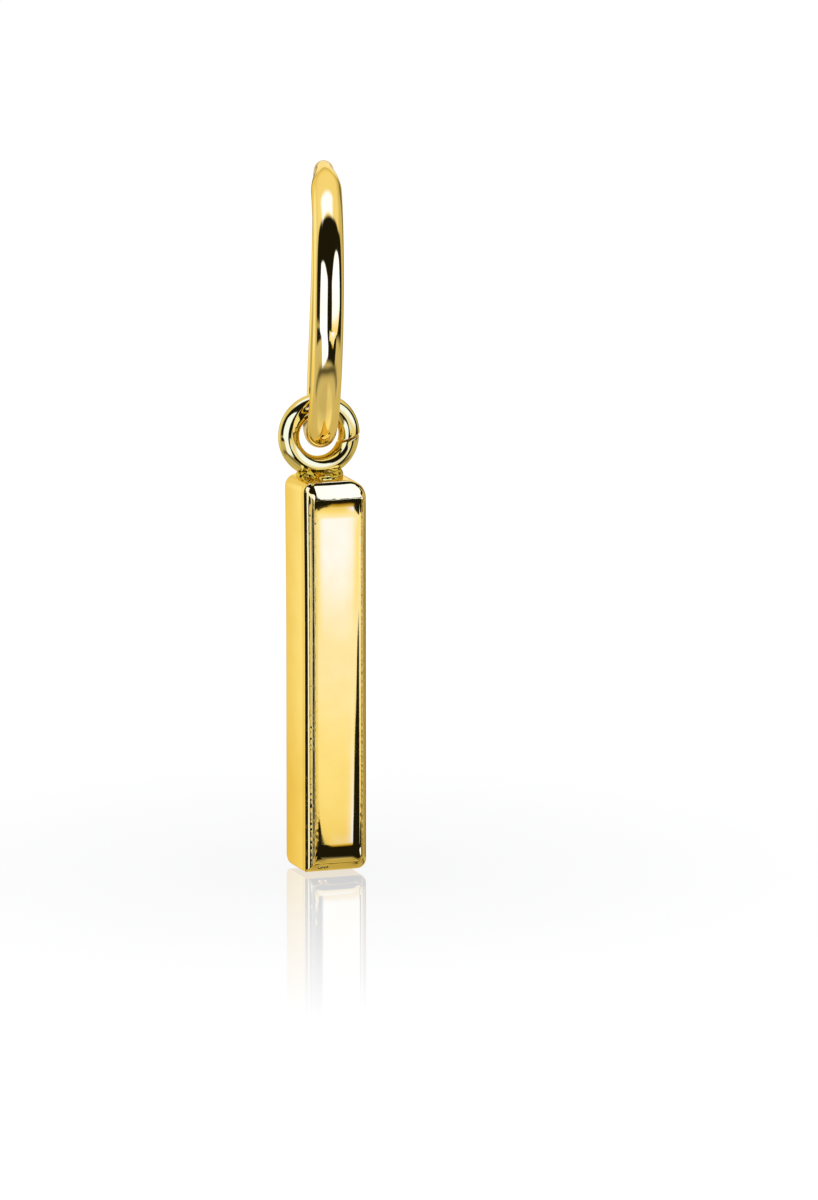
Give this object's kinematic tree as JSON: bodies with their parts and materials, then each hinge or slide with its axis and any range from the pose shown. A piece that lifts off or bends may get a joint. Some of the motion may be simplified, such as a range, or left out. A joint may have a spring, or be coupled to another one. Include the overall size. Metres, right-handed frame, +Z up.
{
  "type": "bar earring",
  "caption": "Earring with a round-wire hoop, a thin ear pin and a square bar that hangs on the hoop by a soldered jump ring, its front face framed.",
  "frame": {"origin": "middle of the ear pin's wire at the top of the hoop, where the ear carries it", "axes": "+Z up, -Y to the front, +X to the wearer's left; the bar hangs along -Z"},
  "size_m": [0.0038, 0.0095, 0.0305],
  "materials": {
    "hoop_gold": "polished yellow gold",
    "pin_gold": "polished yellow gold, drawn wire",
    "bar_gold": "mirror-polished yellow gold"
  },
  "bodies": {
    "ear_hoop": {"hoop": "hoop_gold", "ear_pin": "pin_gold"},
    "drop": {"bar_drop": "bar_gold"}
  },
  "joints": [
    {"name": "drop_swing", "type": "hinge", "parent": "ear_hoop", "child": "drop", "pos_m": [-0.00023, 0, -0.01114], "axis": [0, 1, 0], "range_deg": [-140, 140]}
  ]
}
